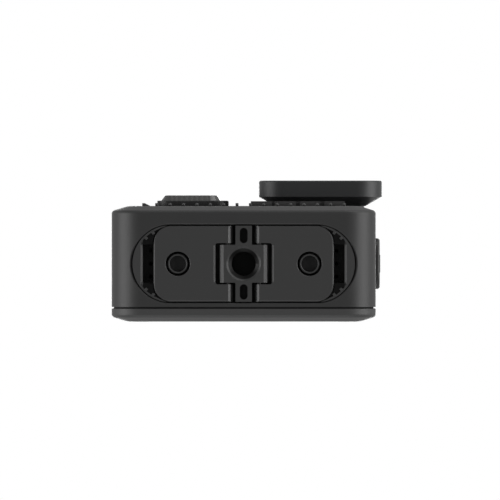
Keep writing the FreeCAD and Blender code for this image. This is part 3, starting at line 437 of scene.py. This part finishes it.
def make_pivot_bosses(finishes):
    """A round boss with a dished middle stands in each folded finger's hole."""
    hole_x, top, dish = 13.9 * MM, 0.3 * MM, 1.5 * MM
    for side, label in ((-1, "left"), (1, "right")):
        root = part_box(f"{label}_finger")[1][2] + 0.06 * MM
        section = [(0, root), (2.12 * MM, root), (2.12 * MM, top + 0.16 * MM), (1.98 * MM, top),
                   (1.86 * MM, top), (1.74 * MM, top + 0.12 * MM), (1.7 * MM, top + dish),
                   (0, top + dish)]
        mesh = bmesh.new()
        turned_ring(mesh, section, (side * hole_x, 0, 0), (0, 0, 1))
        piece_from(mesh, f"{label}_pivot_boss", "camera", "tray", finishes)


def make_nail_shadow_plates(finishes):
    """A thin flat black plate of painted shadow, standing in for the shaded corners of each nail well, fills
    those corners clear of the fingers, with two short ribs on it.
    """
    tray_arc, finger_corner = (15.35 * MM, 0), (15.45 * MM, 4.43 * MM)
    face_z, thick = -0.03 * MM, 0.06 * MM
    outline = [(21.25 * MM, 4.0 * MM)]
    outline += arc(tray_arc, 7.72 * MM, range(40, 74, 3))
    outline += arc(finger_corner, 3.74 * MM, range(60, -5, -8))
    rib_size = Matrix.Diagonal((0.62 * MM, 0.6 * MM, 0.5 * MM, 1))
    for across, side in ((1, "right"), (-1, "left")):
        for rear, end in ((1, "rear"), (-1, "front")):
            # The plate is painted shadow: a black sheet where the well's corners lie in shade, not a ramp.
            mesh = bmesh.new()
            face = mesh.faces.new([mesh.verts.new((across * x, rear * y, face_z)) for x, y in outline])
            risen = bmesh.ops.extrude_face_region(mesh, geom=[face])["geom"]
            bmesh.ops.translate(mesh, verts=[v for v in risen if isinstance(v, bmesh.types.BMVert)],
                                vec=(0, 0, thick))
            ramp = piece_from(mesh, f"nail_shadow_plate_{side}_{end}", "camera", "dark_plastic", finishes,
                              smooth=False)
            ramp.data.materials.clear()
            ramp.data.materials.append(finishes["painted_shadow_black"].material)

            mesh = bmesh.new()
            for x, y in arc(tray_arc, 7.5 * MM, (46, 60)):
                x, y = across * x, rear * y
                outward = math.atan2(y, x - across * tray_arc[0])
                place = Matrix.Translation((x, y, 0.05 * MM)) @ Matrix.Rotation(outward, 4, "Z")
                rounded_cube(mesh, place @ rib_size, 0.14 * MM)
            piece_from(mesh, f"nail_ribs_{side}_{end}", "camera", "finger_metal", finishes)


def make_rib_ends(finishes):
    """The front ribs end in rounded tips, and a bar closes the gaps in the row of pads under the lens."""
    upright_ribs, rib_pitch, tip_radius = 15, 2.83 * MM, 0.34 * MM
    rib_y, rib_foot = -12.5 * MM, 4.95 * MM
    mesh = bmesh.new()
    for index in range(1, upright_ribs + 1):
        middle = rib_pitch * (index - upright_ribs / 2)
        bmesh.ops.create_uvsphere(mesh, u_segments=16, v_segments=10, radius=tip_radius,
                                  matrix=Matrix.Translation((middle, rib_y, rib_foot)))
    piece_from(mesh, "rib_tips", "camera", "front_panel", finishes)

    mesh = bmesh.new()
    bevelled_block(mesh, (1.6 * MM, -13.17 * MM, 17.9 * MM), (21.3 * MM, -12.1 * MM, 19.3 * MM), 0.1 * MM)
    piece_from(mesh, "pad_bridge", "camera", "dark_plastic", finishes)


def make_lens_trim(finishes):
    """A stepped black baffle reaches from the lens barrel's front to the back of the cover glass."""
    low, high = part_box("lens_barrel")
    axis = ((low[0] + high[0]) / 2, 0, (low[2] + high[2]) / 2)
    barrel_y = low[1] - 0.02 * MM
    glass_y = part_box("lens_cover_glass")[1][1] + 0.05 * MM
    bore, rim, steps = 6.9 * MM, 8.25 * MM, 4
    depth = (glass_y - barrel_y) / steps
    section = [(bore, barrel_y)]
    for step in range(steps):
        radius = (7.1 + 0.3 * step) * MM
        section += [(radius, barrel_y + step * depth), (radius + 0.22 * MM, barrel_y + (step + 1) * depth)]
    section += [(rim, glass_y), (rim, barrel_y)]
    mesh = bmesh.new()
    turned_ring(mesh, section, axis, (0, 1, 0), 96)
    piece_from(mesh, "lens_baffle", "lens_cover", "black_metal", finishes)


def make_button_trim(finishes):
    """A short bar stands on the mode button."""
    low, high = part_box("mode_button")
    face_x, middle_y, middle_z = high[0], (low[1] + high[1]) / 2, (low[2] + high[2]) / 2
    half_length, half_width = 1.9 * MM, 0.3 * MM
    mesh = bmesh.new()
    bevelled_block(mesh, (face_x - 0.1 * MM, middle_y - half_length, middle_z - half_width),
                   (face_x + 0.12 * MM, middle_y + half_length, middle_z + half_width), 0.1 * MM)
    piece_from(mesh, "mode_bar", "mode_button", "button", finishes)


# ---------------------------------------------------------------- studio

def area_light(name, place, target, size, watts, size_y=None):
    data = bpy.data.lights.new(name, "AREA")
    data.shape = "RECTANGLE"
    data.size = size
    data.size_y = size_y or size
    data.energy = watts
    light = bpy.data.objects.new(name, data)
    light.location = place
    light.rotation_euler = (Vector(target) - Vector(place)).to_track_quat("-Z", "Y").to_euler()
    bpy.context.scene.collection.objects.link(light)


def make_world():
    """White behind everything; as a light it brightens from below to above."""
    world = bpy.data.worlds.new("studio")
    world.use_nodes = True
    bpy.context.scene.world = world
    tree = world.node_tree
    tree.nodes.clear()
    add = tree.nodes.new
    link = tree.links.new
    where = add("ShaderNodeTexCoord")
    parts = add("ShaderNodeSeparateXYZ")
    ramp = add("ShaderNodeValToRGB")
    shift = add("ShaderNodeMath")
    shift.operation = "MULTIPLY_ADD"
    shift.inputs[1].default_value = 0.5
    shift.inputs[2].default_value = 0.5
    link(where.outputs["Generated"], parts.inputs[0])
    link(parts.outputs["Z"], shift.inputs[0])
    link(shift.outputs[0], ramp.inputs[0])
    stops = [(0.0, 0.25), (0.12, 0.35), (0.5, 0.5), (0.75, 0.55), (1.0, 0.6)]
    for index, (place, level) in enumerate(stops):
        stop = ramp.color_ramp.elements[index] if index < 2 else ramp.color_ramp.elements.new(place)
        stop.position = place
        stop.color = (level, level, level, 1)
    lit = add("ShaderNodeBackground")
    link(ramp.outputs[0], lit.inputs["Color"])
    seen = add("ShaderNodeBackground")
    seen.inputs["Color"].default_value = (1, 1, 1, 1)
    path = add("ShaderNodeLightPath")
    mix = add("ShaderNodeMixShader")
    out = add("ShaderNodeOutputWorld")
    link(path.outputs["Is Camera Ray"], mix.inputs[0])
    link(lit.outputs[0], mix.inputs[1])
    link(seen.outputs[0], mix.inputs[2])
    link(mix.outputs[0], out.inputs["Surface"])


def make_floor():
    """A pale floor at the base, seen only from above, so that the base can be seen from below."""
    mesh = bmesh.new()
    bmesh.ops.create_grid(mesh, x_segments=1, y_segments=1, size=2.5)
    data = bpy.data.meshes.new("floor")
    mesh.to_mesh(data)
    mesh.free()
    floor = bpy.data.objects.new("floor", data)
    floor.location.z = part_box("mount_tray")[0][2] - 0.02 * MM
    bpy.context.scene.collection.objects.link(floor)
    finish = Finish("floor_white", Roughness=0.9, Specular_IOR_Level=0.0)
    finish.drive(Base_Color=finish.blend(finish.noise(0.4, 2), grey(0.86), grey(0.9)))
    back = finish.node("ShaderNodeNewGeometry", output="Backfacing")
    seen = finish.node("ShaderNodeLightPath", output="Is Camera Ray")
    clear = finish.node("ShaderNodeBsdfTransparent")
    solid = Level(finish, finish.shader.outputs[0])
    shown = seen * (1 - back)
    mixed = finish.node("ShaderNodeMixShader", {}, {0: shown, 1: clear, 2: solid})
    finish.tree.links.new(mixed.socket, finish.output.inputs["Surface"])
    data.materials.append(finish.material)


def make_lights():
    centre = (0, 0, 20 * MM)
    area_light("left_softbox", (-0.66, 0.02, -0.22), centre, 0.55, 3.0)
    area_light("right_softbox", (0.66, -0.12, -0.22), centre, 0.55, 3.4)
    area_light("front_softbox", (0.35, -0.7, -0.05), centre, 0.6, 1.6, 0.4)
    area_light("rear_softbox", (0, 0.65, -0.3), centre, 0.5, 0.9, 0.3)
    area_light("top_softbox", (0, 0, 1.0), centre, 0.5, 5)


def make_camera():
    """Straight below the base, looking up, with the front of the camera at the top of the view."""
    data = bpy.data.cameras.new("camera_view")
    data.lens = 1200
    data.sensor_width = 36
    data.clip_start = 0.05
    data.clip_end = 10
    view = bpy.data.objects.new("camera_view", data)
    field = 105.5 * MM
    aim = Vector((1.33 * MM, -2.9 * MM, 0))
    distance = field * data.lens / data.sensor_width
    right, up, back = Vector((1, 0, 0)), Vector((0, -1, 0)), Vector((0, 0, -1))
    turn = Matrix((right, up, back)).transposed().to_4x4()
    view.matrix_world = Matrix.Translation(aim + back * distance) @ turn
    bpy.context.scene.collection.objects.link(view)
    bpy.context.scene.camera = view


bpy.context.scene.view_settings.view_transform = "Standard"
finishes = make_finishes()
finish_cad_nodes(finishes)
make_threaded_insert(finishes)
make_pivot_bosses(finishes)
make_nail_shadow_plates(finishes)
make_rib_ends(finishes)
make_lens_trim(finishes)
make_button_trim(finishes)
make_world()
make_floor()
make_lights()
make_camera()
